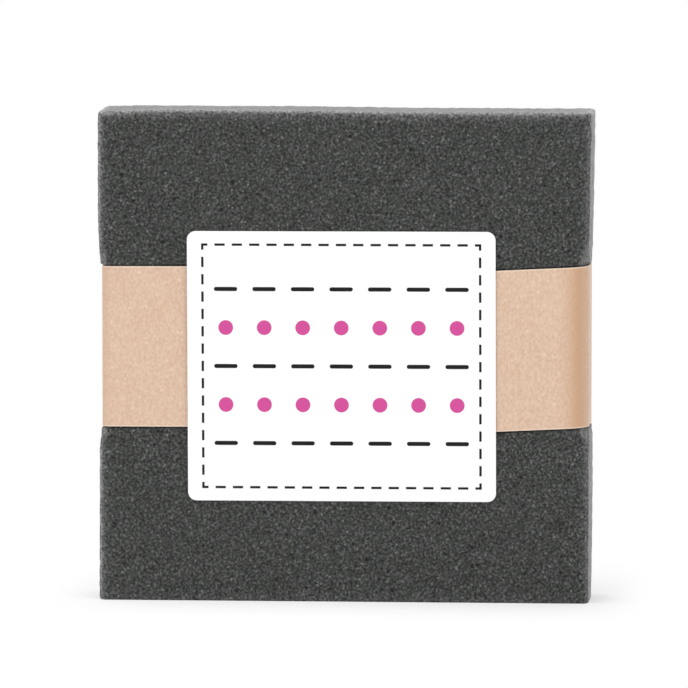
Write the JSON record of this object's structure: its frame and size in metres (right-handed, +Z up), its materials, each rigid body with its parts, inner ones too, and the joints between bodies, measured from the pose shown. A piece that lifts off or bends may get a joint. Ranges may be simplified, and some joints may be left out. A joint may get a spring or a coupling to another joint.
{
  "type": "needle felting mat",
  "caption": "Square charcoal foam pad for needle felting, standing on edge in a kraft paper band closed by a plain white label on the front.",
  "frame": {"origin": "middle of the edge face that the pad stands on", "axes": "+Z up along the standing pad, -Y out of the front face that carries the label, +X to the right seen from the front"},
  "size_m": [0.1524, 0.0259, 0.1524],
  "materials": {
    "charcoal_foam": "matte",
    "kraft_paper": "matte",
    "label_paper": "satin"
  },
  "bodies": {
    "pad": {"foam_pad": "charcoal_foam"},
    "wrap": {"kraft_band": "kraft_paper", "front_label": "label_paper"}
  },
  "joints": [
    {"name": "band_slide", "type": "slide", "parent": "pad", "child": "wrap", "axis": [0, 0, 1], "range_m": [0, 0.125], "deforming": ["foam_pad"]}
  ]
}
